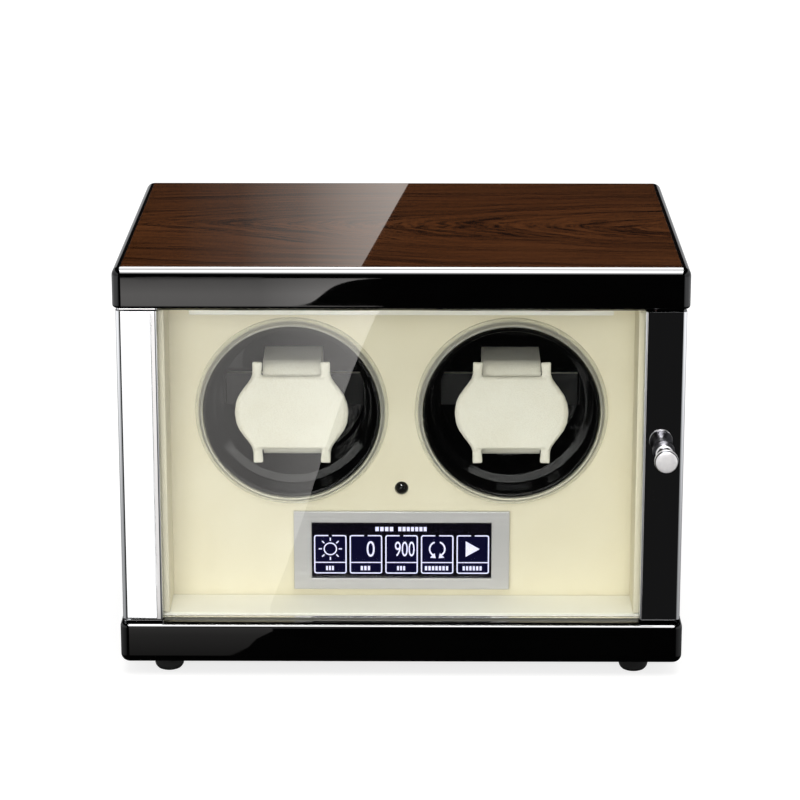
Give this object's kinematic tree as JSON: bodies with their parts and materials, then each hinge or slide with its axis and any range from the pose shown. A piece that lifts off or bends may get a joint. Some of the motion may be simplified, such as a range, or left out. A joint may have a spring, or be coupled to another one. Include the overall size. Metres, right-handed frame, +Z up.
{
  "type": "watch winder box",
  "caption": "Free-standing watch winder box with a walnut-topped black lacquer case, a glass door, winding cups with pillows, and a touch display.",
  "frame": {"origin": "middle of the footprint, on the surface that the feet stand on", "axes": "+X to the right as seen from the front, +Y to the back, +Z up"},
  "size_m": [0.27, 0.216, 0.202],
  "materials": {
    "black_lacquer": "high-gloss black polyester lacquer on fibreboard",
    "walnut_veneer": "dark walnut veneer under clear gloss lacquer",
    "foot_rubber": "matt moulded rubber",
    "back_board": "satin black paint on fibreboard",
    "screw_steel": "nickel-plated steel",
    "black_plastic": "fine moulded texture",
    "cream_board": "smooth cream leatherette on board",
    "light_diffuser": "frosted diffuser",
    "brushed_aluminium": "brushed, clear anodised",
    "display_glass": "dark display window with lit symbols",
    "circuit_board": "green solder mask",
    "gloss_black_plastic": "polished black",
    "polished_chrome": "mirror polish",
    "door_glass": "clear polished glass",
    "clear_acrylic": "clear acrylic with polished edges",
    "white_nylon": "natural acetal and nylon",
    "cream_leather": "soft cream leatherette, fine grain",
    "bush_bronze": "sintered bronze",
    "lead_insulation": "black flexible insulation"
  },
  "bodies": {
    "case": {"lid_board": "black_lacquer", "base_board": "black_lacquer", "side_wall_left": "black_lacquer", "side_wall_right": "black_lacquer", "lid_veneer": "walnut_veneer", "foot_front_left": "foot_rubber", "foot_front_right": "foot_rubber", "foot_rear_left": "foot_rubber", "foot_rear_right": "foot_rubber", "back_panel": "back_board", "back_screw_lower_left": "screw_steel", "back_screw_lower_right": "screw_steel", "back_screw_upper_left": "screw_steel", "back_screw_upper_right": "screw_steel", "door_magnet": "screw_steel", "gear_motor_left": "screw_steel", "gear_motor_right": "screw_steel", "dc_inlet": "black_plastic", "display_module": "black_plastic", "drive_bracket_left": "black_plastic", "drive_bracket_right": "black_plastic", "front_panel": "cream_board", "floor_liner": "cream_board", "ceiling_liner": "cream_board", "wall_liner_left": "cream_board", "wall_liner_right": "cream_board", "led_strip": "light_diffuser", "display_bezel": "brushed_aluminium", "display_window": "display_glass", "control_board": "circuit_board", "infrared_eye": "gloss_black_plastic", "door_pivot_lower": "polished_chrome", "door_pivot_upper": "polished_chrome", "cup_ring_left": "clear_acrylic", "cup_ring_right": "clear_acrylic", "shaft_bush_left": "bush_bronze", "shaft_bush_right": "bush_bronze", "motor_lead_left": "lead_insulation", "motor_lead_right": "lead_insulation", "power_lead": "lead_insulation"},
    "door": {"door_stile_left": "polished_chrome", "door_stile_right": "polished_chrome", "door_glass": "door_glass", "door_knob": "polished_chrome", "knob_screw": "screw_steel", "strike_plate": "screw_steel", "pivot_bush_lower": "white_nylon", "pivot_bush_upper": "white_nylon"},
    "cup_left_turning": {"cup_left": "gloss_black_plastic", "cup_gear_left": "white_nylon", "cup_shaft_left": "screw_steel"},
    "pinion_left": {"motor_pinion_left": "white_nylon"},
    "pillow_left": {"pillow_pad_left": "cream_leather", "pillow_loop_left": "cream_leather"},
    "cup_right_turning": {"cup_right": "gloss_black_plastic", "cup_gear_right": "white_nylon", "cup_shaft_right": "screw_steel"},
    "pinion_right": {"motor_pinion_right": "white_nylon"},
    "pillow_right": {"pillow_pad_right": "cream_leather", "pillow_loop_right": "cream_leather"}
  },
  "joints": [
    {"name": "door_hinge", "type": "hinge", "parent": "case", "child": "door", "pos_m": [-0.13, -0.0848, 0.1045], "axis": [0, 0, -1], "range_deg": [0, 105]},
    {"name": "cup_left_spin", "type": "hinge", "parent": "case", "child": "cup_left_turning", "pos_m": [-0.053, -0.02, 0.1225], "axis": [0, 1, 0], "continuous": true},
    {"name": "pinion_left_spin", "type": "hinge", "parent": "case", "child": "pinion_left", "pos_m": [-0.02867, 0, 0.09351], "axis": [0, 1, 0], "continuous": true},
    {"name": "pillow_left_pull", "type": "slide", "parent": "cup_left_turning", "child": "pillow_left", "axis": [0, -1, 0], "range_m": [0, 0.024]},
    {"name": "cup_right_spin", "type": "hinge", "parent": "case", "child": "cup_right_turning", "pos_m": [0.053, -0.02, 0.1225], "axis": [0, 1, 0], "continuous": true},
    {"name": "pinion_right_spin", "type": "hinge", "parent": "case", "child": "pinion_right", "pos_m": [0.02867, 0, 0.09351], "axis": [0, 1, 0], "continuous": true},
    {"name": "pillow_right_pull", "type": "slide", "parent": "cup_right_turning", "child": "pillow_right", "axis": [0, -1, 0], "range_m": [0, 0.024]}
  ],
  "couplings": [
    {"joint": "pinion_left_spin", "follows": "cup_left_spin", "ratio": -4},
    {"joint": "pinion_right_spin", "follows": "cup_right_spin", "ratio": -4}
  ]
}
